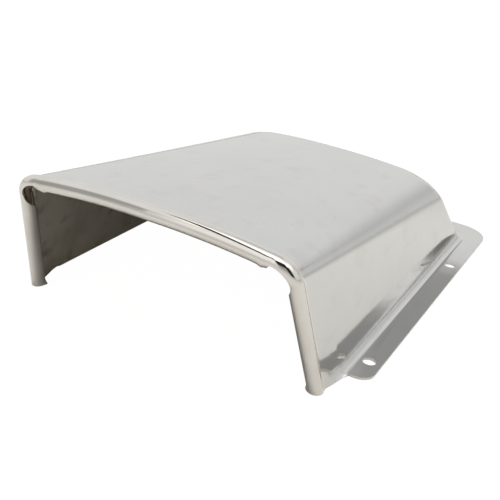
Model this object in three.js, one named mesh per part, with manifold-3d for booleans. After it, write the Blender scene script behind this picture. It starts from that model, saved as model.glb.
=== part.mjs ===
// Cowl vent: a low stainless air scoop that screws down over a hole in a deck or engine hatch.
// One pressed sheet makes the hood, its three walls and the screw flange. The mouth's edge is
// rolled over a stiffening wire, and the two corners of the roll are closed with weld.
// Millimetres, +Z up, the mouth faces -Y, and z = 0 is the deck.

import * as THREE from 'three';
import { mergeVertices } from 'three/addons/utils/BufferGeometryUtils.js';
import Module from 'manifold-3d';

// Sheet
const SHEET = 0.8;

// Hood, to the outside of the sheet. Lengths run along the deck from the mouth's foot.
const HOOD_LENGTH = 158;
const HOOD_HALF_WIDTH = 54.2;
const MOUTH_HEIGHT = 46.2;
const REAR_HEIGHT = 30.2;
const CROWN = 3.7;
const MOUTH_OVERHANG = 17.9;
const MOUTH_TUCK = 0.4;
const MOUTH_WALL_LEAN = 7.3;
const REAR_SIDE_LEAN = 10.6;
const REAR_WALL_LEAN = 21;
const MOUTH_CORNER_REACH = 6.5;
const REAR_BEND_REACH = 9;
const REAR_CORNER_BASE = 6;
const REAR_CORNER_TOP = 9;
const CREST_TO_REAR = 45;

// Flange and its screw holes
const SIDE_FLANGE = 9.3;
const REAR_FLANGE = 14;
const FLANGE_FRONT_Y = 15;
const FLANGE_FRONT_CORNER = 5;
const FLANGE_REAR_CORNER = 12;
const FLANGE_FILLET_REACH = 2.6;
const HOLE_RADIUS = 2.5;
const HOLE_TO_SIDE = 4.25;
const HOLE_TO_REAR = 7;
const HOLE_TO_FRONT = 11.5;
const HOLE_SPACING = 95.5;

// Rolled edge, its wire and its corner welds
const ROLL_RADIUS = 2.35;
const ROLL_PROUD = 0.6;
const ROLL_START = THREE.MathUtils.degToRad(-62);
const LIP_ANGLE = THREE.MathUtils.degToRad(245);
const LIP_ANGLE_CORNER = THREE.MathUtils.degToRad(165);
const LIP_FADE = 3;
const LEG_OVERRUN = 0.25;
const WALL_LIFT = 0.25;
const WIRE_RECESS = 0.6;
const WELD_RADIUS = 0.8;
const WELD_GAP = 0.3;
const WIRE_GAP = 0.45;
const SHEET_INTO_ROLL = 0.15;

// Worked out from the sizes above
const MOUTH_HALF_WIDTH_BASE = HOOD_HALF_WIDTH - MOUTH_TUCK;
const MOUTH_HALF_WIDTH_TOP = MOUTH_HALF_WIDTH_BASE - MOUTH_WALL_LEAN;
const REAR_HALF_WIDTH_TOP = HOOD_HALF_WIDTH - REAR_SIDE_LEAN;
const REAR_TOP_Y = HOOD_LENGTH - REAR_WALL_LEAN;
const CREST_END_Y = REAR_TOP_Y - CREST_TO_REAR;
const FLANGE_HALF_WIDTH = HOOD_HALF_WIDTH + SIDE_FLANGE;
const FLANGE_REAR_Y = HOOD_LENGTH + REAR_FLANGE;
const ROLL_CENTRE = ROLL_RADIUS - ROLL_PROUD;
const WIRE_RADIUS = ROLL_RADIUS - SHEET - WIRE_GAP;
const SHEET_END = ROLL_RADIUS - SHEET - SHEET_INTO_ROLL;

// Steps along each stretch of a wall section, and round the roll and the wire
const STEPS = { fillet: 5, wall: 2, bend: 7, panel: 5 };
const ROLL_STEPS = 16;
const WIRE_SIDES = 8;
const ARC_HANDLE = 0.5523;

const vec = (x, y, z = 0) => new THREE.Vector3(x, y, z);
const { lerp } = THREE.MathUtils;

const line = (a, b) => new THREE.LineCurve3(a, b);

// A circular corner, from a on one side of the sharp corner c to b on the other
function round(a, c, b) {
  const leave = a.clone().lerp(c, ARC_HANDLE);
  const arrive = b.clone().lerp(c, ARC_HANDLE);
  return new THREE.CubicBezierCurve3(a, leave, arrive, b);
}

// Share of the way from the mouth (0) to the rear edge (1) of the top panel
const alongPanel = (y) => (y + MOUTH_OVERHANG) / (REAR_TOP_Y + MOUTH_OVERHANG);

const panelHalfWidth = (y) => lerp(MOUTH_HALF_WIDTH_TOP, REAR_HALF_WIDTH_TOP, alongPanel(y));

// The top panel's outside: it falls towards the rear and is crowned from side to side
function panelHeight(x, y) {
  const edge = lerp(MOUTH_HEIGHT, REAR_HEIGHT, alongPanel(y));
  return edge + CROWN * (1 - (x / panelHalfWidth(y)) ** 2);
}

// The mouth's section on the right, moved y towards the rear
function mouthPlace(y) {
  const foot = vec(MOUTH_HALF_WIDTH_BASE, y);
  const panelY = y - MOUTH_OVERHANG;
  return {
    flange: foot,
    foot,
    panel: vec(panelHalfWidth(panelY), panelY),
    crest: vec(0, y - MOUTH_OVERHANG * (MOUTH_HEIGHT + CROWN) / MOUTH_HEIGHT),
    reach: MOUTH_CORNER_REACH,
  };
}

// The right half of the walls' run, from the rear centre to the mouth. Each stretch has its
// line along the flange's edge, the foot of the wall, the top panel's edge and the crest.
function wallStretches() {
  const mouth = mouthPlace(SHEET_END);
  const sideX = HOOD_HALF_WIDTH;
  const edgeX = FLANGE_HALF_WIDTH;
  const sideRearY = HOOD_LENGTH - REAR_CORNER_BASE;
  const panelRearY = REAR_TOP_Y - REAR_CORNER_TOP;
  const tuckY = FLANGE_FRONT_Y + 1;
  const cornerY = FLANGE_FRONT_Y + FLANGE_FRONT_CORNER;
  const share = (y) => (y - mouth.foot.y) / (sideRearY - mouth.foot.y);
  const panelEdge = (y) => {
    const panelY = lerp(mouth.panel.y, panelRearY, share(y));
    return vec(panelHalfWidth(panelY), panelY);
  };
  const crest = (y) => vec(0, lerp(mouth.crest.y, CREST_END_Y, share(y)));
  const crestEnd = vec(0, CREST_END_Y);
  const sideStretch = (from, to, flange, steps) => ({
    steps,
    flange,
    foot: line(vec(sideX, from), vec(sideX, to)),
    panel: line(panelEdge(from), panelEdge(to)),
    crest: line(crest(from), crest(to)),
  });

  return [
    {
      steps: 4,
      flange: line(vec(0, FLANGE_REAR_Y), vec(edgeX - FLANGE_REAR_CORNER, FLANGE_REAR_Y)),
      foot: line(vec(0, HOOD_LENGTH), vec(sideX - REAR_CORNER_BASE, HOOD_LENGTH)),
      panel: line(vec(0, REAR_TOP_Y), vec(REAR_HALF_WIDTH_TOP - REAR_CORNER_TOP, REAR_TOP_Y)),
      crest: line(crestEnd, crestEnd),
    },
    {
      steps: 8,
      flange: round(
        vec(edgeX - FLANGE_REAR_CORNER, FLANGE_REAR_Y),
        vec(edgeX, FLANGE_REAR_Y),
        vec(edgeX, FLANGE_REAR_Y - FLANGE_REAR_CORNER),
      ),
      foot: round(
        vec(sideX - REAR_CORNER_BASE, HOOD_LENGTH),
        vec(sideX, HOOD_LENGTH),
        vec(sideX, sideRearY),
      ),
      panel: round(
        vec(REAR_HALF_WIDTH_TOP - REAR_CORNER_TOP, REAR_TOP_Y),
        vec(REAR_HALF_WIDTH_TOP, REAR_TOP_Y),
        panelEdge(sideRearY),
      ),
      crest: line(crestEnd, crestEnd),
    },
    sideStretch(
      sideRearY,
      cornerY,
      line(vec(edgeX, FLANGE_REAR_Y - FLANGE_REAR_CORNER), vec(edgeX, cornerY)),
      8,
    ),
    sideStretch(
      cornerY,
      tuckY,
      round(
        vec(edgeX, cornerY),
        vec(edgeX, FLANGE_FRONT_Y),
        vec(edgeX - FLANGE_FRONT_CORNER, FLANGE_FRONT_Y),
      ),
      5,
    ),
    sideStretch(
      tuckY,
      FLANGE_FRONT_Y,
      line(
        vec(edgeX - FLANGE_FRONT_CORNER, FLANGE_FRONT_Y),
        vec(sideX + FLANGE_FILLET_REACH, FLANGE_FRONT_Y),
      ),
      1,
    ),
    {
      ...sideStretch(FLANGE_FRONT_Y, mouth.foot.y, null, 5),
      flange: line(vec(sideX + FLANGE_FILLET_REACH, FLANGE_FRONT_Y), mouth.foot),
      foot: line(vec(sideX, FLANGE_FRONT_Y), mouth.foot),
    },
  ];
}

// The sheet's outside from the flange's edge, up the wall and over the bend, to the crest,
// as four curves that follow each other. Where the flange narrows to nothing beside the mouth,
// the fillet unrolls until the wall runs straight down to the deck.
function wallCurves({ flange, foot, panel, crest, reach }) {
  const spread = Math.min(1, flange.distanceTo(foot) / FLANGE_FILLET_REACH);
  const edge = flange.clone().setZ(Math.max(WALL_LIFT, SHEET * spread));
  const onPanel = (t) => {
    const p = panel.clone().lerp(crest, t);
    return p.setZ(panelHeight(p.x, p.y));
  };
  const top = onPanel(0);
  const towards = (from, to, by) => to.clone().sub(from).setLength(by).add(from);
  const drop = FLANGE_FILLET_REACH * Math.sqrt(1 - spread ** 2);
  const base = towards(foot.clone().setZ(edge.z), top, drop);
  const filletTop = towards(base, top, FLANGE_FILLET_REACH);
  const bendFoot = towards(top, base, reach);
  const bendShare = reach / panel.distanceTo(crest);
  return {
    edge,
    fillet: round(towards(base, edge, FLANGE_FILLET_REACH), base, filletTop),
    wall: line(filletTop, bendFoot),
    bend: round(bendFoot, top, onPanel(bendShare)),
    panel: { getPoint: (t) => onPanel(lerp(bendShare, 1, t)) },
  };
}

function wallSection(place) {
  const curves = wallCurves(place);
  const points = [curves.edge, curves.fillet.getPoint(0)];
  for (const [name, steps] of Object.entries(STEPS)) {
    for (let i = 1; i <= steps; i += 1) points.push(curves[name].getPoint(i / steps));
  }
  return points;
}

const mirrored = (points) => points.map((p) => vec(-p.x, p.y, p.z));

// A surface through rows of points, its repeated points merged and its empty triangles dropped
function skin(rows) {
  const plane = new THREE.PlaneGeometry(1, 1, rows[0].length - 1, rows.length - 1);
  plane.deleteAttribute('normal');
  plane.deleteAttribute('uv');
  rows.flat().forEach((p, i) => plane.attributes.position.setXYZ(i, p.x, p.y, p.z));
  const merged = mergeVertices(plane, 1e-4);
  const index = [];
  for (let i = 0; i < merged.index.count; i += 3) {
    const [a, b, c] = [0, 1, 2].map((k) => merged.index.getX(i + k));
    if (a !== b && b !== c && c !== a) index.push(a, b, c);
  }
  merged.setIndex(index);
  return merged;
}

// A copy of a skin, set back from it by one thickness and never lower than the deck
function setBack(outer, thickness) {
  outer.computeVertexNormals();
  const inner = outer.clone();
  const { position, normal } = outer.attributes;
  for (let i = 0; i < position.count; i += 1) {
    const back = vec().fromBufferAttribute(normal, i).multiplyScalar(-thickness);
    const p = back.add(vec().fromBufferAttribute(position, i));
    inner.attributes.position.setXYZ(i, p.x, p.y, Math.max(0, p.z));
  }
  return inner;
}

// A closed sheet: its outer and inner skin, which match point for point, and its edges
function sheet(outer, inner) {
  const { count } = outer.attributes.position;
  const index = [...outer.index.array];
  const edges = new Map();
  for (let i = 0; i < outer.index.count; i += 3) {
    const [a, b, c] = [0, 1, 2].map((k) => outer.index.getX(i + k));
    index.push(count + c, count + b, count + a);
    for (const [p, q] of [[a, b], [b, c], [c, a]]) {
      if (!edges.delete(`${q},${p}`)) edges.set(`${p},${q}`, [p, q]);
    }
  }
  for (const [p, q] of edges.values()) {
    index.push(q, p, count + p, q, count + p, count + q);
  }
  const points = [...outer.attributes.position.array, ...inner.attributes.position.array];
  const body = new THREE.BufferGeometry();
  body.setAttribute('position', new THREE.Float32BufferAttribute(points, 3));
  body.setIndex(index);
  return body;
}

const wasm = await Module();
wasm.setup();

function solid(geometry) {
  const bare = geometry.clone();
  bare.deleteAttribute('normal');
  bare.deleteAttribute('uv');
  const merged = mergeVertices(bare, 1e-4);
  return new wasm.Manifold(new wasm.Mesh({
    numProp: 3,
    vertProperties: new Float32Array(merged.attributes.position.array),
    triVerts: new Uint32Array(merged.index.array),
  }));
}

function geometryOf(body) {
  const { vertProperties, triVerts } = body.getMesh();
  const geometry = new THREE.BufferGeometry();
  geometry.setAttribute('position', new THREE.BufferAttribute(vertProperties, 3));
  geometry.setIndex(new THREE.BufferAttribute(triVerts, 1));
  geometry.computeVertexNormals();
  return geometry;
}

// Everything lower than one height, to cut the legs off level with the deck
function below(height) {
  const depth = 20;
  const box = new THREE.BoxGeometry(4 * FLANGE_HALF_WIDTH, 2 * FLANGE_REAR_Y, depth);
  return solid(box.translate(0, 0, height - depth / 2));
}

// The pressed sheet, before its mouth is rolled
function pressing() {
  const half = [];
  wallStretches().forEach((stretch, n) => {
    for (let i = n === 0 ? 0 : 1; i <= stretch.steps; i += 1) {
      const at = (name) => stretch[name].getPoint(i / stretch.steps);
      const [flange, foot, panel, crest] = ['flange', 'foot', 'panel', 'crest'].map(at);
      const reach = lerp(MOUTH_CORNER_REACH, REAR_BEND_REACH, alongPanel(panel.y));
      half.push(wallSection({ flange, foot, panel, crest, reach }));
    }
  });
  const rightHalf = half.slice().reverse();
  const leftHalf = half.slice(1).map(mirrored);
  const outside = skin([...rightHalf, ...leftHalf]);
  return sheet(outside, setBack(outside, SHEET));
}

function screwHoles() {
  const x = FLANGE_HALF_WIDTH - HOLE_TO_SIDE;
  const frontY = FLANGE_FRONT_Y + HOLE_TO_FRONT;
  const places = [vec(0, FLANGE_REAR_Y - HOLE_TO_REAR)];
  for (const side of [-1, 1]) {
    places.push(vec(side * x, frontY), vec(side * x, frontY + HOLE_SPACING));
  }
  return places.map((p) => {
    const drill = new THREE.CylinderGeometry(HOLE_RADIUS, HOLE_RADIUS, 6 * SHEET, 32);
    return solid(drill.rotateX(Math.PI / 2).translate(p.x, p.y, 0));
  });
}

// Stations up the right leg, over the top and down the left leg of the mouth. Each has the
// roll's centre, the directions out of the sheet and out of the mouth, and the angle at which
// the rolled lip ends: the lip is cut short round the two corners.
function mouthStations() {
  const edge = wallCurves(mouthPlace(0));
  const behind = wallCurves(mouthPlace(SHEET_END));
  const fade = LIP_FADE / MOUTH_HEIGHT;
  const half = [];
  function add(name, t, lip) {
    const point = edge[name].getPoint(t);
    const rearward = behind[name].getPoint(t).sub(point);
    half.push({ point, rearward, lip, corner: name === 'bend' });
  }
  for (const t of [-LEG_OVERRUN, 0.3, 0.6, 1 - 2 * fade]) add('wall', t, LIP_ANGLE);
  add('wall', 1 - 1.5 * fade, (LIP_ANGLE + LIP_ANGLE_CORNER) / 2);
  add('wall', 1 - fade, LIP_ANGLE_CORNER);
  for (let i = 0; i <= STEPS.bend; i += 1) add('bend', i / STEPS.bend, LIP_ANGLE_CORNER);
  add('panel', fade, LIP_ANGLE_CORNER);
  add('panel', 1.5 * fade, (LIP_ANGLE + LIP_ANGLE_CORNER) / 2);
  for (const t of [2 * fade, 0.25, 0.4, 0.6, 0.8, 1]) add('panel', t, LIP_ANGLE);
  const otherHalf = half.slice(0, -1).reverse().map((station) => ({
    ...station,
    point: mirrored([station.point])[0],
    rearward: mirrored([station.rearward])[0],
  }));

  const outline = [...half, ...otherHalf];
  return outline.map(({ point, rearward, lip, corner }, i) => {
    const before = outline[Math.max(i - 1, 0)].point;
    const after = outline[Math.min(i + 1, outline.length - 1)].point;
    const along = after.clone().sub(before).normalize();
    const outward = rearward.clone().cross(along).normalize();
    const forward = outward.clone().cross(along);
    const centre = point.clone().addScaledVector(outward, -ROLL_CENTRE);
    return { centre, outward, forward, lip, corner, right: point.x > 0 };
  });
}

const offset = ({ centre, outward, forward }, out, ahead) => (
  centre.clone().addScaledVector(outward, out).addScaledVector(forward, ahead)
);

// The mouth's edge, rolled forwards and round into the mouth
function roll(stations) {
  const surface = (radius) => skin(stations.map((station) => {
    const row = [];
    for (let i = 0; i <= ROLL_STEPS; i += 1) {
      const angle = lerp(ROLL_START, station.lip, i / ROLL_STEPS);
      row.push(offset(station, radius * Math.cos(angle), radius * Math.sin(angle)));
    }
    return row;
  }));
  const rolled = sheet(surface(ROLL_RADIUS), surface(ROLL_RADIUS - SHEET));
  return solid(rolled).subtract(below(0));
}

// A round bar along stations, closed at both ends
function bar(stations, radiusAt, out = 0, ahead = 0) {
  const rows = stations.map((station, n) => {
    const radius = radiusAt(n);
    const row = [];
    for (let i = 0; i <= WIRE_SIDES; i += 1) {
      const angle = 2 * Math.PI * (i % WIRE_SIDES) / WIRE_SIDES;
      row.push(offset(station, out + radius * Math.cos(angle), ahead + radius * Math.sin(angle)));
    }
    return row;
  });
  const cap = (station) => new Array(WIRE_SIDES + 1).fill(offset(station, out, ahead));
  return skin([cap(stations[0]), ...rows, cap(stations.at(-1))]);
}

// Weld that closes one corner of the roll from inside: it lies in the angle between the sheet's
// inside and the wire, and swells from its ends to its middle
function cornerWeld(stations) {
  const out = ROLL_CENTRE - SHEET - WELD_GAP - WELD_RADIUS;
  const ahead = -Math.sqrt((WIRE_RADIUS + WELD_GAP + WELD_RADIUS) ** 2 - out ** 2);
  const last = stations.length - 1;
  const radiusAt = (n) => WELD_RADIUS * (0.5 + 0.5 * Math.sin(Math.PI * n / last));
  return bar(stations, radiusAt, out, ahead);
}

const stations = mouthStations();
const corners = stations.filter((station) => station.corner);

let shell = solid(pressing()).add(roll(stations));
for (const hole of screwHoles()) shell = shell.subtract(hole);

const wire = solid(bar(stations, () => WIRE_RADIUS)).subtract(below(WIRE_RECESS));

const polished = new THREE.MeshStandardMaterial({ color: '#cfcdc8', roughness: 0.12, metalness: 1 });
const drawnWire = new THREE.MeshStandardMaterial({ color: '#a8a6a1', roughness: 0.35, metalness: 1 });
const weldMetal = new THREE.MeshStandardMaterial({ color: '#8d8477', roughness: 0.5, metalness: 1 });

const model = new THREE.Group();

function addPiece(name, geometry, material) {
  const mesh = new THREE.Mesh(geometry, material);
  mesh.name = name;
  model.add(mesh);
}

addPiece('hood_shell', geometryOf(shell), polished);
addPiece('mouth_wire', geometryOf(wire), drawnWire);
addPiece('corner_weld_right', cornerWeld(corners.filter(({ right }) => right)), weldMetal);
addPiece('corner_weld_left', cornerWeld(corners.filter(({ right }) => !right)), weldMetal);

// The origin is on the deck, under the middle of the whole vent
const whole = new THREE.Box3().setFromObject(model);
model.position.y = -(whole.min.y + whole.max.y) / 2;

export default model;
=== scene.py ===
from math import asin, cos, exp, pi, radians, sin, sqrt, tan

import bmesh
import bpy
from mathutils import Matrix, Vector


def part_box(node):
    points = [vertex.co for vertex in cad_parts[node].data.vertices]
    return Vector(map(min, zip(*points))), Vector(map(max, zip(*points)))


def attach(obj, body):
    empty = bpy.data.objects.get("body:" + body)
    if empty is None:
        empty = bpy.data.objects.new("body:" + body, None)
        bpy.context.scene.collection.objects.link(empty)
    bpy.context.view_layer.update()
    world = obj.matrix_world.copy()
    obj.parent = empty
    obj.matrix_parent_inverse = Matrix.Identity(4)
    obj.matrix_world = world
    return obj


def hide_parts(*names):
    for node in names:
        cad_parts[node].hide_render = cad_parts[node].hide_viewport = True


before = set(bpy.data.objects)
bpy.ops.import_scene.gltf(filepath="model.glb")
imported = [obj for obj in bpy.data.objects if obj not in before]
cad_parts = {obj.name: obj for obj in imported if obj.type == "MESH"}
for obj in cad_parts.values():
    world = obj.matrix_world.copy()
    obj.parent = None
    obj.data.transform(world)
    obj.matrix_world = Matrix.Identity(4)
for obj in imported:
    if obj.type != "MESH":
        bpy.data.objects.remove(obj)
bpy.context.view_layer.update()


# Camera. It looks down on the vent from the front right, rolled a little, as a hand-held
# product view is. Everything else is placed in the frame, not by this view.
azimuth, elevation, roll = radians(23.81), radians(23.96), radians(8.43)
back = Vector((sin(azimuth) * cos(elevation), -cos(azimuth) * cos(elevation), sin(elevation)))
level_right = Vector((cos(azimuth), sin(azimuth), 0))
level_up = back.cross(level_right)
camera_right = cos(roll) * level_right + sin(roll) * level_up
camera_up = cos(roll) * level_up - sin(roll) * level_right
camera_target = Vector((0.0005, -0.0218, 0.0118))
camera_distance = 0.3296

camera = bpy.data.objects.new("camera", bpy.data.cameras.new("camera"))
bpy.context.scene.collection.objects.link(camera)
camera.data.lens = 65.35
camera.data.sensor_width = 36
camera.data.clip_start = 0.01
camera.data.clip_end = 20
camera.data.dof.use_dof = False
camera.matrix_world.col[0].xyz = camera_right
camera.matrix_world.col[1].xyz = camera_up
camera.matrix_world.col[2].xyz = back
camera.matrix_world.col[3].xyz = camera_target + camera_distance * back
bpy.context.scene.camera = camera


# Hood shell. The real one is a single stainless sheet, 0.8 mm thick, drawn over a die to make
# the hood and its screw flange. The mouth's edge is then rolled forwards and round into a bead,
# the screw holes are punched, and the outside is buffed to a mirror. The inside stays dull.
mm = 0.001
shell_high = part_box("hood_shell")[1]
sheet = 0.8 * mm
side_flange = 9.3 * mm
rear_flange = 14 * mm
hood_length = 158 * mm
flange_setback = 15 * mm
flange_edge_x = shell_high.x
flange_edge_y = shell_high.y
wall_x = flange_edge_x - side_flange
wall_y = flange_edge_y - rear_flange
foot_y = wall_y - hood_length
flange_start_y = foot_y + flange_setback

mouth_tuck = 0.4 * mm
mouth_lean = 7.3 * mm
mouth_height = 46.2 * mm
mouth_overhang = 17.9 * mm
rear_height = 30.2 * mm
rear_side_lean = 10.6 * mm
rear_wall_run = 21 * mm
rear_crest_run = 45 * mm
panel_end_y = wall_y - rear_wall_run
crest_end_y = panel_end_y - rear_crest_run
crown = 3.7 * mm
rear_corner_base = 6 * mm
rear_corner_top = 9 * mm
flange_rear_corner = 12 * mm
flange_front_corner = 5 * mm
flange_front_tuck = 1 * mm
fillet_side = 2.6 * mm
fillet_rear = 3 * mm
fillet_growth = 45 * mm
bend_mouth = 6.5 * mm
bend_rear = 14 * mm
wall_lift = 0.25 * mm

bead_radius = 2.35 * mm
bead_proud = 0.45 * mm
valley_radius = 2.5 * mm
bead_centre = bead_radius - bead_proud
valley_behind = sqrt((bead_radius + valley_radius) ** 2 - (bead_centre + valley_radius) ** 2)
bead_start = asin(valley_behind / (bead_radius + valley_radius))
lip_angle = radians(245)
lip_angle_corner = radians(106)
lip_fade_top = 1.6 * mm
lip_fade_leg = 9 * mm
lip_cut_start, lip_cut_end = 0.2, 2
lip_flare = 0.4 * mm
foot_flare = 0.7 * mm
foot_flare_reach = 3 * mm
foot_trim = 7 * mm
foot_lift = 0.8 * mm
sheet_end = 3 * mm


def blend(a, b, t):
    return a + (b - a) * t


def rounded(a, corner, b, t):
    """A round corner from a to b, tangent to the sharp corner's two sides. It is a cubic curve,
    and this share of the way to the corner makes it all but circular."""
    arc_share = 0.5523
    leave = a.lerp(corner, arc_share)
    arrive = b.lerp(corner, arc_share)
    s = 1 - t
    return s ** 3 * a + 3 * s * s * t * leave + 3 * s * t * t * arrive + t ** 3 * b


def along_panel(y):
    front = foot_y - mouth_overhang
    return (y - front) / (panel_end_y - front)


def panel_half_width(y):
    return blend(wall_x - mouth_tuck - mouth_lean, wall_x - rear_side_lean, along_panel(y))


def on_panel(x, y):
    """The top panel's outside: it falls to the rear and is crowned from side to side."""
    edge = blend(mouth_height, rear_height, along_panel(y))
    return Vector((x, y, edge + crown * (1 - (x / panel_half_width(y)) ** 2)))


def mouth_lines(behind):
    """Foot, panel edge and crest of the mouth's section, moved this far to the rear."""
    foot = Vector((wall_x - mouth_tuck, foot_y + behind, 0))
    panel_y = foot_y + behind - mouth_overhang
    crest_y = foot_y + behind - mouth_overhang * (mouth_height + crown) / mouth_height
    return foot, Vector((panel_half_width(panel_y), panel_y, 0)), Vector((0, crest_y, 0))


side_rear_y = wall_y - rear_corner_base
panel_rear_y = panel_end_y - rear_corner_top
flange_corner_y = flange_start_y + flange_front_corner
flange_tuck_y = flange_start_y + flange_front_tuck
end_foot, end_panel, end_crest = mouth_lines(sheet_end)


def plan_side(y):
    """Foot, panel edge and crest beside a point on the straight side wall."""
    share = (y - end_foot.y) / (side_rear_y - end_foot.y)
    panel_y = blend(end_panel.y, panel_rear_y, share)
    crest = Vector((0, blend(end_crest.y, crest_end_y, share), 0))
    return Vector((wall_x, y, 0)), Vector((panel_half_width(panel_y), panel_y, 0)), crest


def plan_rear(t):
    x = flange_edge_x - flange_rear_corner
    foot = Vector(((wall_x - rear_corner_base) * t, wall_y, 0))
    panel = Vector(((wall_x - rear_side_lean - rear_corner_top) * t, panel_end_y, 0))
    return Vector((x * t, flange_edge_y, 0)), foot, panel, Vector((0, crest_end_y, 0))


def plan_rear_corner(t):
    edge = rounded(
        Vector((flange_edge_x - flange_rear_corner, flange_edge_y, 0)),
        Vector((flange_edge_x, flange_edge_y, 0)),
        Vector((flange_edge_x, flange_edge_y - flange_rear_corner, 0)), t)
    foot = rounded(
        Vector((wall_x - rear_corner_base, wall_y, 0)),
        Vector((wall_x, wall_y, 0)),
        Vector((wall_x, side_rear_y, 0)), t)
    panel_x = wall_x - rear_side_lean
    panel = rounded(
        Vector((panel_x - rear_corner_top, panel_end_y, 0)),
        Vector((panel_x, panel_end_y, 0)),
        plan_side(side_rear_y)[1], t)
    return edge, foot, panel, Vector((0, crest_end_y, 0))


def plan_side_wall(t):
    edge_y = blend(flange_edge_y - flange_rear_corner, flange_corner_y, t)
    return Vector((flange_edge_x, edge_y, 0)), *plan_side(blend(side_rear_y, flange_corner_y, t))


def plan_front_corner(t):
    edge = rounded(
        Vector((flange_edge_x, flange_corner_y, 0)),
        Vector((flange_edge_x, flange_start_y, 0)),
        Vector((flange_edge_x - flange_front_corner, flange_start_y, 0)), t)
    return edge, *plan_side(blend(flange_corner_y, flange_tuck_y, t))


def plan_flange_end(t):
    edge_x = blend(flange_edge_x - flange_front_corner, wall_x + fillet_side, t)
    edge = Vector((edge_x, flange_start_y, 0))
    return edge, *plan_side(blend(flange_tuck_y, flange_start_y, t))


def plan_to_mouth(t):
    foot, panel, crest = plan_side(blend(flange_start_y, end_foot.y, t))
    foot = Vector((wall_x, flange_start_y, 0)).lerp(end_foot, t)
    edge = Vector((wall_x + fillet_side, flange_start_y, 0)).lerp(end_foot, t)
    return edge, foot, panel, crest


flange_steps, fillet_steps, wall_steps, bend_steps, panel_steps = 8, 10, 28, 26, 44
wall_closing, panel_opening = 1.5, 1.4  # above 1, so that the columns crowd towards the bend


def across(edge, foot, panel, crest, fillet, bend):
    """Points over the sheet's outside, from the flange's edge to the crest. Where the flange
    narrows to nothing, the fillet unrolls until the wall runs straight down to the deck."""
    spread = min(1, (edge - foot).length / fillet)
    edge = Vector((edge.x, edge.y, max(wall_lift, sheet * spread)))
    top = on_panel(panel.x, panel.y)

    def towards(a, b, length):
        return a + (b - a).normalized() * length

    base = towards(Vector((foot.x, foot.y, edge.z)), top, fillet * sqrt(1 - spread ** 2))
    fillet_foot = towards(base, edge, fillet)
    fillet_top = towards(base, top, fillet)
    bend_foot = towards(top, base, bend)
    bend_share = bend / (panel - crest).length

    def over(t):
        p = panel.lerp(crest, t)
        return on_panel(p.x, p.y)

    points = [edge.lerp(fillet_foot, i / flange_steps) for i in range(flange_steps)]
    points += [rounded(fillet_foot, base, fillet_top, i / fillet_steps) for i in range(fillet_steps)]
    for i in range(wall_steps):
        points.append(bend_foot.lerp(fillet_top, (1 - i / wall_steps) ** wall_closing))
    points += [rounded(bend_foot, top, over(bend_share), i / bend_steps) for i in range(bend_steps)]
    for i in range(panel_steps + 1):
        points.append(over(blend(bend_share, 1, (i / panel_steps) ** panel_opening)))
    return points


def smooth_step(t):
    t = min(1, max(0, t))
    return t * t * (3 - 2 * t)


runs = [
    (plan_rear, 24),
    (plan_rear_corner, 28),
    (plan_side_wall, 60),
    (plan_front_corner, 16),
    (plan_flange_end, 2),
    (plan_to_mouth, 12),
]
shell_rows = []
for number, (plan, steps) in enumerate(runs):
    for step in range(0 if number == 0 else 1, steps + 1):
        edge, foot, panel, crest = plan(step / steps)
        fillet_share = smooth_step((foot.y - (wall_y - fillet_growth)) / fillet_growth)
        fillet = blend(fillet_side, fillet_rear, fillet_share)
        bend = blend(bend_mouth, bend_rear, along_panel(panel.y))
        shell_rows.append(across(edge, foot, panel, crest, fillet, bend))

# The bead: each row turns one step further round it, from the valley behind it to the lip.
# Both corners of the lip are cut short, so that the sheet can turn them without a crease. The
# cut runs out down the leg. On the top it ends sooner, and the lip bulges a little there.
foot_line, panel_line, crest_line = mouth_lines(0)
mouth_edge = across(foot_line, foot_line, panel_line, crest_line, fillet_side, bend_mouth)
mouth_behind = shell_rows[-1]
last_column = len(mouth_edge) - 1
bend_column = flange_steps + fillet_steps + wall_steps
panel_column = bend_column + bend_steps
mouth_frames = []
for column, point in enumerate(mouth_edge):
    before = mouth_edge[max(column - 1, flange_steps)]
    after = mouth_edge[min(max(column + 1, flange_steps + 1), last_column)]
    along = Vector((-1, 0, 0)) if column == last_column else (after - before).normalized()
    rearward = (mouth_behind[column] - point).normalized()
    outward = rearward.cross(along).normalized()
    corner = mouth_edge[min(max(column, bend_column), panel_column)]
    fade = lip_fade_leg if column < bend_column else lip_fade_top
    mouth_frames.append({
        "point": point,
        "along": along,
        "outward": outward,
        "forward": outward.cross(along),
        "slant": tan(asin(rearward.dot(along))),
        "from_foot": (point - foot_line).length,
        "off_corner": (point - corner).length / fade,
        "flare": lip_flare if column > panel_column else 0,
    })


def bead_place(at, out, ahead, lift=0):
    """A point on the bead, this far out of the sheet and ahead of its edge. The foot's end
    is trimmed level, on the deck or this far above it."""
    slide = at["slant"] * max(0, -ahead)
    level = at["point"] + at["outward"] * out + at["forward"] * ahead
    foot = foot_line + at["outward"] * out + at["forward"] * ahead
    trim = (lift - foot.z) / at["along"].z if at["from_foot"] < foot_trim else 0
    return level + at["along"] * (slide + trim * (1 - smooth_step(at["from_foot"] / foot_trim)))


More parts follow.
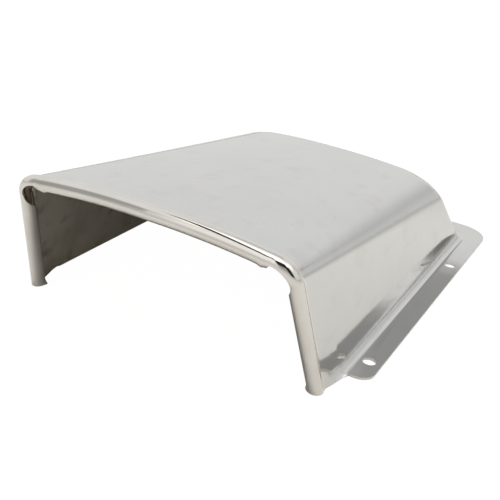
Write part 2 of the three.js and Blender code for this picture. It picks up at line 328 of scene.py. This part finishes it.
valley_steps, bead_steps = 8, 34
first_bead_row = len(shell_rows)
for step in range(valley_steps):
    turn = bead_start * step / valley_steps
    out = valley_radius * (1 - cos(turn))
    ahead = valley_radius * sin(turn) - valley_behind
    shell_rows.append([bead_place(at, out, ahead) for at in mouth_frames])
for step in range(bead_steps + 1):
    row = []
    for at in mouth_frames:
        off_corner = past_cut = at["off_corner"]
        if at["flare"]:
            past_cut = (off_corner - lip_cut_start) / (lip_cut_end - lip_cut_start)
        lip = blend(lip_angle_corner, lip_angle, smooth_step(past_cut))
        angle = blend(-bead_start, lip, step / bead_steps)
        past_front = smooth_step(2 * angle / pi - 1)  # 0 up to the bead's front, 1 on its inside
        at_foot = max(0, 1 - at["from_foot"] / foot_flare_reach) ** 2
        flare = at["flare"] * exp(-(2 * (off_corner - lip_cut_end)) ** 2) + foot_flare * at_foot
        radius = bead_radius + flare * past_front
        row.append(bead_place(at, radius * cos(angle) - bead_centre, radius * sin(angle),
                              foot_lift * past_front))
    shell_rows.append(row)

shell = bmesh.new()
rows, columns = len(shell_rows) - 1, last_column
bmesh.ops.create_grid(shell, x_segments=rows, y_segments=columns, size=1)
# The bead's rows take the material whose base colour holds a painted warm reflection.
polished_slot, warm_reflection_slot = 0, 2
for face in shell.faces:
    row = round(min((vert.co.x + 1) / 2 * rows for vert in face.verts))
    face.material_index = warm_reflection_slot if row >= first_bead_row - 1 else polished_slot
for vert in shell.verts:
    row = round((vert.co.x + 1) / 2 * rows)
    column = round((vert.co.y + 1) / 2 * columns)
    vert.co = shell_rows[row][column]
join_distance, seam_distance = 0.01 * mm, 0.02 * mm
bmesh.ops.remove_doubles(shell, verts=shell.verts, dist=join_distance)
bmesh.ops.dissolve_degenerate(shell, dist=join_distance / 2, edges=shell.edges)
bmesh.ops.mirror(shell, geom=shell.verts[:] + shell.edges[:] + shell.faces[:], axis="X",
                 merge_dist=seam_distance)
bmesh.ops.remove_doubles(shell, verts=shell.verts, dist=join_distance)

hole_radius = 2.28 * mm
hole_sides = 40
side_hole_inset = 4.25 * mm
rear_hole_inset = 7 * mm
front_hole_setback = 11.5 * mm
hole_pitch = 95.5 * mm
hole_x = flange_edge_x - side_hole_inset
front_hole_y = flange_start_y + front_hole_setback
rear_hole_y = front_hole_y + hole_pitch
holes = [(0, flange_edge_y - rear_hole_inset)]
holes += [(side * hole_x, y) for side in (-1, 1) for y in (front_hole_y, rear_hole_y)]


def punch(sheet_mesh, x, y):
    """Opens the flat sheet round one screw hole, and fills the opening up to the hole's rim."""
    reach = 1.03 * hole_radius
    flat_height = sheet + 0.05 * mm

    def near(places, middle):
        return min(places) - reach < middle < max(places) + reach

    def touched(face):
        places = [vert.co for vert in face.verts]
        flat = all(place.z < flat_height for place in places)
        beside = near([place.x for place in places], x)
        return flat and beside and near([place.y for place in places], y)

    outline = {edge for edge in sheet_mesh.edges if edge.is_boundary}
    opened = [face for face in sheet_mesh.faces if touched(face)]
    bmesh.ops.delete(sheet_mesh, geom=opened, context="FACES")
    rim = [edge for edge in sheet_mesh.edges if edge.is_boundary and edge not in outline]
    circle = bmesh.ops.create_circle(sheet_mesh, segments=hole_sides, radius=hole_radius,
                                     matrix=Matrix.Translation((x, y, sheet)))["verts"]
    rim += {edge for vert in circle for edge in vert.link_edges}
    bmesh.ops.triangle_fill(sheet_mesh, edges=rim, use_beauty=True, normal=(0, 0, 1))


for hole in holes:
    punch(shell, *hole)
bmesh.ops.recalc_face_normals(shell, faces=shell.faces)
if max(shell.faces, key=lambda f: f.calc_center_median().z).normal.z < 0:
    bmesh.ops.reverse_faces(shell, faces=shell.faces)
for face in shell.faces:
    face.smooth = True

shell_mesh = bpy.data.meshes.new("pressed_hood")
shell.to_mesh(shell_mesh)
shell.free()
pressed_hood = bpy.data.objects.new("pressed_hood", shell_mesh)
bpy.context.scene.collection.objects.link(pressed_hood)

# The materials come in pairs, the outside's and the inside's, and the cut edges' is last.
inside_step, edge_step = 1, 4
thickness = pressed_hood.modifiers.new("sheet thickness", "SOLIDIFY")
thickness.thickness = sheet
thickness.offset = -1
thickness.use_even_offset = False
thickness.use_quality_normals = True
thickness.material_offset = inside_step
thickness.material_offset_rim = edge_step
softened = pressed_hood.modifiers.new("deburred edges", "BEVEL")
softened.width = 0.12 * mm
softened.segments = 2
softened.limit_method = "ANGLE"
softened.angle_limit = radians(50)
softened.harden_normals = True


def grain(material, size, stretch=(1, 1, 1), detail=4):
    """A noise in the piece's own space. The size is that of one spot, in metres, and the
    stretch draws the spots out along x, y and z."""
    nodes, links = material.node_tree.nodes, material.node_tree.links
    place = nodes.new("ShaderNodeTexCoord")
    drawn = nodes.new("ShaderNodeMapping")
    drawn.inputs["Scale"].default_value = [1 / (size * share) for share in stretch]
    noise = nodes.new("ShaderNodeTexNoise")
    noise.inputs["Scale"].default_value = 1
    noise.inputs["Detail"].default_value = detail
    links.new(place.outputs["Object"], drawn.inputs["Vector"])
    links.new(drawn.outputs["Vector"], noise.inputs["Vector"])
    return noise.outputs["Fac"]


def ranged(material, value, low, high, start=0.35, end=0.65):
    """Turns a noise into a number between low and high."""
    node = material.node_tree.nodes.new("ShaderNodeMapRange")
    material.node_tree.links.new(value, node.inputs["Value"])
    node.inputs["From Min"].default_value = start
    node.inputs["From Max"].default_value = end
    node.inputs["To Min"].default_value = low
    node.inputs["To Max"].default_value = high
    return node.outputs["Result"]


def combined(material, operation, first, second):
    node = material.node_tree.nodes.new("ShaderNodeMath")
    node.operation = operation
    for socket, value in zip(node.inputs, (first, second)):
        if isinstance(value, (int, float)):
            socket.default_value = value
        else:
            material.node_tree.links.new(value, socket)
    return node.outputs["Value"]


def mixed(material, share, first, second):
    """A colour between two, by a share of 0 to 1."""
    node = material.node_tree.nodes.new("ShaderNodeMix")
    node.data_type = "RGBA"
    material.node_tree.links.new(share, node.inputs["Factor"])
    for socket, colour in ((node.inputs["A"], first), (node.inputs["B"], second)):
        if isinstance(colour, tuple):
            socket.default_value = (*colour, 1)
        else:
            material.node_tree.links.new(colour, socket)
    return node.outputs["Result"]


def relief(material, height, depth, under=None):
    """A bump of this depth in metres, laid over another bump if there is one."""
    bump = material.node_tree.nodes.new("ShaderNodeBump")
    bump.inputs["Distance"].default_value = depth
    material.node_tree.links.new(height, bump.inputs["Height"])
    if under is not None:
        material.node_tree.links.new(under, bump.inputs["Normal"])
    return bump.outputs["Normal"]


def metal(name):
    material = bpy.data.materials.new(name)
    material.use_nodes = True
    surface = material.node_tree.nodes["Principled BSDF"]
    surface.inputs["Metallic"].default_value = 1
    return material, surface


def finish(material, surface, colour, roughness, normal):
    links = material.node_tree.links
    links.new(colour, surface.inputs["Base Color"])
    links.new(roughness, surface.inputs["Roughness"])
    links.new(normal, surface.inputs["Normal"])


# The outside's mirror finish: slow ripples left by the press, fine lines left by the mop, hazy
# patches, and a few handling scratches. The mop doesn't reach into the fillet, which is hazier.
polished, surface = metal("buffed stainless")
haze = ranged(polished, grain(polished, 22 * mm), 0, 1)
fingers = ranged(polished, grain(polished, 7 * mm, (1, 1.8, 1)), 0, 1, 0.56, 0.7)
mop_lines = grain(polished, 0.12 * mm, (1, 160, 1), 2)
scratches = ranged(polished, grain(polished, 0.5 * mm, (1, 60, 1), 1), 0, 1, 0.72, 0.78)
height_split = polished.node_tree.nodes.new("ShaderNodeSeparateXYZ")
place = polished.node_tree.nodes.new("ShaderNodeTexCoord")
polished.node_tree.links.new(place.outputs["Object"], height_split.inputs["Vector"])
above_fillet = ranged(polished, height_split.outputs["Z"], 0, 1, 0.9 * mm, 1.2 * mm)
below_wall = ranged(polished, height_split.outputs["Z"], 1, 0, 3 * mm, 5 * mm)
in_fillet = combined(polished, "MULTIPLY", above_fillet, below_wall)
roughness = ranged(polished, mop_lines, 0.04, 0.07)
for patch, added in ((haze, 0.02), (fingers, 0.04), (scratches, 0.08), (in_fillet, 0.22)):
    roughness = combined(polished, "ADD", roughness, combined(polished, "MULTIPLY", patch, added))
colour = mixed(polished, haze, (0.675, 0.67, 0.648), (0.652, 0.652, 0.638))
colour = mixed(polished, combined(polished, "MULTIPLY", fingers, 0.5), colour, (0.60, 0.585, 0.55))
colour = mixed(polished, scratches, colour, (0.60, 0.59, 0.57))
ripples = relief(polished, grain(polished, 34 * mm, (1, 1.5, 1), 1), 0.035 * mm)
normal = relief(polished, mop_lines, 0.0015 * mm, ripples)
finish(polished, surface, colour, roughness, normal)

# The inside as it left the press: grey-brown, dragged along the draw, with stains of drawing oil.
dull, surface = metal("unpolished stainless")
stains = ranged(dull, grain(dull, 16 * mm), 0, 1, 0.42, 0.62)
blots = ranged(dull, grain(dull, 7 * mm), 0, 1, 0.56, 0.74)
drag = grain(dull, 0.3 * mm, (1, 8, 60), 3)
colour = mixed(dull, stains, (0.67, 0.645, 0.59), (0.58, 0.555, 0.505))
colour = mixed(dull, blots, colour, (0.40, 0.375, 0.33))
roughness = ranged(dull, stains, 0.42, 0.56, 0, 1)
finish(dull, surface, colour, roughness, relief(dull, drag, 0.01 * mm))

# The rolled bead has a material of its own, with its own fine lines and ripples. Its warmer, paler
# base colour is a painted reflection of the warm, pale table in front of it.
warm_reflection_bead, surface = metal("bead with painted warm reflection")
haze = ranged(warm_reflection_bead, grain(warm_reflection_bead, 9 * mm), 0, 1)
lines = grain(warm_reflection_bead, 0.2 * mm, (60, 1, 40), 2)
ripples = relief(warm_reflection_bead, grain(warm_reflection_bead, 7 * mm, (1.6, 1, 1.6), 1), 0.03 * mm)
# Painted reflection: this base colour is warmer and paler than the polished sheet's.
finish(warm_reflection_bead, surface, mixed(warm_reflection_bead, haze, (0.75, 0.725, 0.68), (0.715, 0.685, 0.64)),
       ranged(warm_reflection_bead, lines, 0.06, 0.11), relief(warm_reflection_bead, lines, 0.002 * mm, ripples))

# The sheared edges of the flange and the screw holes, bright and torn across the thickness.
sheared, surface = metal("sheared sheet edge")
tear = grain(sheared, 0.25 * mm, (1, 1, 6), 3)
finish(sheared, surface, mixed(sheared, tear, (0.76, 0.74, 0.70), (0.60, 0.58, 0.55)),
       ranged(sheared, tear, 0.25, 0.42), relief(sheared, tear, 0.02 * mm))

for material in (polished, dull, warm_reflection_bead, dull, sheared):
    shell_mesh.materials.append(material)

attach(pressed_hood, "root")
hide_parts("hood_shell")


# Stiffening wire. The real one is drawn stainless wire, bent to the mouth's outline. It is laid
# against the edge before the sheet is rolled round it, and the roll alone holds it. The heat of
# the welds has browned it at both corners.
wire_radius = 1.1 * mm
wire_recess = 0.6 * mm
wire_sides = 20
brown_side_start, brown_side_end = 40 * mm, 43 * mm
brown_top_start, brown_top_end = 32 * mm, 38 * mm


def mouth_bar(first, last, radius_at, out, ahead, sides):
    """A round bar along the bead, from one column of the mouth's edge to another."""
    bar = bmesh.new()
    steps = last - first
    bmesh.ops.create_grid(bar, x_segments=steps, y_segments=sides, size=1)
    for vert in bar.verts:
        step = round((vert.co.x + 1) / 2 * steps)
        turn = 2 * pi * (round((vert.co.y + 1) / 2 * sides) % sides) / sides
        radius = radius_at(step, steps, turn)
        vert.co = bead_place(mouth_frames[first + step], out - bead_centre + radius * cos(turn),
                             ahead + radius * sin(turn))
    bmesh.ops.remove_doubles(bar, verts=bar.verts, dist=join_distance)
    return bar


def bar_piece(name, bar, material):
    """Closes the bar's ends and makes it a piece of one material."""
    bmesh.ops.holes_fill(bar, edges=[e for e in bar.edges if e.is_boundary])
    bmesh.ops.recalc_face_normals(bar, faces=bar.faces)
    for face in bar.faces:
        face.smooth = len(face.verts) == 4
    mesh = bpy.data.meshes.new(name)
    bar.to_mesh(mesh)
    bar.free()
    piece = bpy.data.objects.new(name, mesh)
    bpy.context.scene.collection.objects.link(piece)
    mesh.materials.append(material)
    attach(piece, "root")
    return piece


wire = mouth_bar(flange_steps, last_column, lambda step, steps, turn: wire_radius, 0, 0,
                 wire_sides)
bmesh.ops.mirror(wire, geom=wire.verts[:] + wire.edges[:] + wire.faces[:], axis="X",
                 merge_dist=seam_distance)
bmesh.ops.bisect_plane(wire, geom=wire.verts[:] + wire.edges[:] + wire.faces[:], clear_inner=True,
                       plane_co=(0, 0, wire_recess), plane_no=(0, 0, 1))

drawn_wire, surface = metal("drawn stainless wire")
die_lines = grain(drawn_wire, 0.15 * mm, (50, 1, 30), 3)
scale = ranged(drawn_wire, grain(drawn_wire, 3 * mm), 0, 1)
wire_split = drawn_wire.node_tree.nodes.new("ShaderNodeSeparateXYZ")
place = drawn_wire.node_tree.nodes.new("ShaderNodeTexCoord")
drawn_wire.node_tree.links.new(place.outputs["Object"], wire_split.inputs["Vector"])
off_middle = combined(drawn_wire, "ABSOLUTE", wire_split.outputs["X"], 0)
near_side = ranged(drawn_wire, off_middle, 0, 1, brown_side_start, brown_side_end)
near_top = ranged(drawn_wire, wire_split.outputs["Z"], 0, 1, brown_top_start, brown_top_end)
browned = combined(drawn_wire, "MULTIPLY", near_side, near_top)
colour = mixed(drawn_wire, scale, (0.46, 0.45, 0.42), (0.34, 0.32, 0.29))
colour = mixed(drawn_wire, browned, colour, (0.20, 0.15, 0.115))
roughness = combined(drawn_wire, "ADD", ranged(drawn_wire, die_lines, 0.25, 0.45),
                     combined(drawn_wire, "MULTIPLY", browned, 0.3))
finish(drawn_wire, surface, colour, roughness, relief(drawn_wire, die_lines, 0.008 * mm))
wire_piece = bar_piece("stiffening_wire", wire, drawn_wire)
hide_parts("mouth_wire")


# Corner welds. The real ones are short runs of hand-fed stainless weld that close the roll where
# its lip is cut short at each corner. They are left as laid, rippled and browned by the heat.
weld_radius = 1.1 * mm
weld_out = -0.6 * mm
weld_ahead = -2.2 * mm
weld_sides = 18
weld_down_leg = 8
weld_over_top = 4
weld_ripples = 12
ripple_height = 0.2
ripple_slant = 0.35
weld_end_share = 0.5


def weld_radius_at(step, steps, turn):
    """Swells from the ends to the middle, with one ripple for each drop of metal."""
    swell = blend(weld_end_share, 1, sin(pi * step / steps))
    ripple = abs(sin(pi * weld_ripples * step / steps + ripple_slant * cos(turn)))
    return weld_radius * swell * (1 - ripple_height + ripple_height * ripple)


weld_metal, surface = metal("weld metal")
surface.inputs["Metallic"].default_value = 0.6
scorch = ranged(weld_metal, grain(weld_metal, 2.2 * mm), 0, 1, 0.4, 0.6)
spatter = grain(weld_metal, 0.35 * mm)
colour = mixed(weld_metal, scorch, (0.52, 0.44, 0.35), (0.30, 0.25, 0.22))
finish(weld_metal, surface, colour, ranged(weld_metal, spatter, 0.3, 0.55),
       relief(weld_metal, spatter, 0.05 * mm))

for side, mirrored in (("right", False), ("left", True)):
    weld = mouth_bar(bend_column - weld_down_leg, panel_column + weld_over_top,
                     weld_radius_at, weld_out, weld_ahead, weld_sides)
    if mirrored:
        bmesh.ops.scale(weld, verts=weld.verts, vec=(-1, 1, 1))
    piece = bar_piece("corner_weld_bead_" + side, weld, weld_metal)
    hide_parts("corner_weld_" + side)


# Studio. A white table, a white room, and dark and bright cards round it for the mirror finish
# to pick up. A bearing is measured from straight behind the vent, turning towards its right.
floor_radius = 3
floor_drop = 0.05 * mm
floor_mesh = bmesh.new()
bmesh.ops.create_circle(floor_mesh, cap_ends=True, segments=64, radius=floor_radius)
bmesh.ops.translate(floor_mesh, verts=floor_mesh.verts, vec=(0, 0, -floor_drop))
floor_data = bpy.data.meshes.new("table_top")
floor_mesh.to_mesh(floor_data)
floor_mesh.free()
floor = bpy.data.objects.new("table_top", floor_data)
bpy.context.scene.collection.objects.link(floor)

# The table paper has light painted into its colour, near white round the vent and greyer further
# out, and it glows white where the camera sees it.
painted_pool_inside, painted_pool_outside = 0.16, 0.5
glow_share, glow_strength = 0.93, 1.06
paper = bpy.data.materials.new("white table paper")
paper.use_nodes = True
nodes, links = paper.node_tree.nodes, paper.node_tree.links
nodes.clear()
matt, glow = nodes.new("ShaderNodeBsdfDiffuse"), nodes.new("ShaderNodeEmission")
place, distance = nodes.new("ShaderNodeTexCoord"), nodes.new("ShaderNodeVectorMath")
distance.operation = "LENGTH"
links.new(place.outputs["Object"], distance.inputs[0])
painted_pool = ranged(paper, distance.outputs["Value"], 0, 1, painted_pool_inside, painted_pool_outside)
# Painted light: the paper's colour is paler near the vent and greyer far from it.
links.new(mixed(paper, painted_pool, (0.98, 0.965, 0.93), (0.68, 0.67, 0.65)), matt.inputs["Color"])
glow.inputs["Strength"].default_value = glow_strength
ray, share = nodes.new("ShaderNodeLightPath"), nodes.new("ShaderNodeMath")
share.operation = "MULTIPLY"
share.inputs[1].default_value = glow_share
lit, out = nodes.new("ShaderNodeMixShader"), nodes.new("ShaderNodeOutputMaterial")
links.new(ray.outputs["Is Camera Ray"], share.inputs[0])
links.new(share.outputs["Value"], lit.inputs["Fac"])
links.new(matt.outputs["BSDF"], lit.inputs[1])
links.new(glow.outputs["Emission"], lit.inputs[2])
links.new(lit.outputs["Shader"], out.inputs["Surface"])
floor_data.materials.append(paper)

world = bpy.data.worlds.new("studio")
bpy.context.scene.world = world
world.use_nodes = True
nodes, links = world.node_tree.nodes, world.node_tree.links
ray_direction = nodes.new("ShaderNodeTexCoord").outputs["Generated"]


def card(under, bearing, height, width, tall, softness, tone, turn=0):
    """A card far off in the room, this many degrees wide and tall, over what is behind it."""
    bearing, height, turn = radians(bearing), radians(height), radians(turn)
    facing = Vector((sin(bearing) * cos(height), cos(bearing) * cos(height), sin(height)))
    right = Vector((cos(bearing), -sin(bearing), 0))
    up = right.cross(facing)
    turned_right = right * cos(turn) + up * sin(turn)
    turned_up = up * cos(turn) - right * sin(turn)

    def along(axis):
        dot = nodes.new("ShaderNodeVectorMath")
        dot.operation = "DOT_PRODUCT"
        dot.inputs[1].default_value = axis
        links.new(ray_direction, dot.inputs[0])
        return dot.outputs["Value"]

    def spot(axis, size):
        offset = combined(world, "DIVIDE", along(axis), ahead)
        edge, soft = tan(radians(size / 2)), tan(radians(softness / 2))
        return ranged(world, combined(world, "ABSOLUTE", offset, 0), 1, 0, edge - soft, edge + soft)

    facing_share = along(facing)
    ahead = combined(world, "MAXIMUM", facing_share, 0.001)
    inside = combined(world, "MULTIPLY", spot(turned_right, width), spot(turned_up, tall))
    inside = combined(world, "MULTIPLY", inside, combined(world, "GREATER_THAN", facing_share, 0))
    return mixed(world, inside, under, tone)


def grey(level, warmth=0.0):
    return (level * (1 + warmth), level, level * (1 - warmth))


split = nodes.new("ShaderNodeSeparateXYZ")
links.new(ray_direction, split.inputs["Vector"])
room = mixed(world, ranged(world, split.outputs["Z"], 0, 1, 0, 1), grey(0.82), grey(0.95))

# Front left: a soft grey wall with a pale window beside it, for the band along the bead.
room = card(room, -133, 22, 34, 50, 20, grey(0.42))
room = card(room, -166, 42, 24, 46, 12, grey(1.10, 0.02))
# Overhead, the lamp that lights the table. High behind on the right, its fill.
room = card(room, 90, 78, 42, 66, 3, grey(1.9))
room = card(room, 55, 42, 44, 20, 8, grey(1.35))
# Overhead on the left: a thin black bar, which draws the dark line along the bead.
room = card(room, -128, 72, 44, 8, 2, grey(0.03), turn=18)
# Behind and low: grey cards for the soft band along the side bend.
room = card(room, 46, -4, 66, 20, 12, grey(0.70))
room = card(room, 13, 6.5, 16, 8, 8, grey(0.62))
# Behind on the right: a dark, a pale and a grey card, for the patches along the fillet.
room = card(room, 28, 10.7, 17, 5.2, 0.6, grey(0.24))
room = card(room, 28, 15.6, 17, 4.6, 0.6, grey(1.12))
room = card(room, 28, 22.4, 12, 9.4, 0.6, grey(0.44))
# Straight behind: the dark card that the side flange reflects, paler at its top.
room = card(room, -10, 32.6, 18, 20.2, 0.5, grey(0.38))
room = card(room, -8, 38, 34, 10, 6, grey(0.64))
# Front right: black drapes, for the dark crescent where the bead turns its corner.
room = card(room, 142, 17, 50, 26, 8, grey(0.42))
room = card(room, 114, 21, 28, 50, 5, grey(0.03))
room = card(room, 141, 47, 50, 36, 3, grey(0.03))

# The camera itself sees plain white behind the vent.
camera_ray = nodes.new("ShaderNodeLightPath").outputs["Is Camera Ray"]
room = mixed(world, camera_ray, room, grey(1.0))
links.new(room, nodes["Background"].inputs["Color"])
bpy.context.scene.view_settings.view_transform = "Standard"
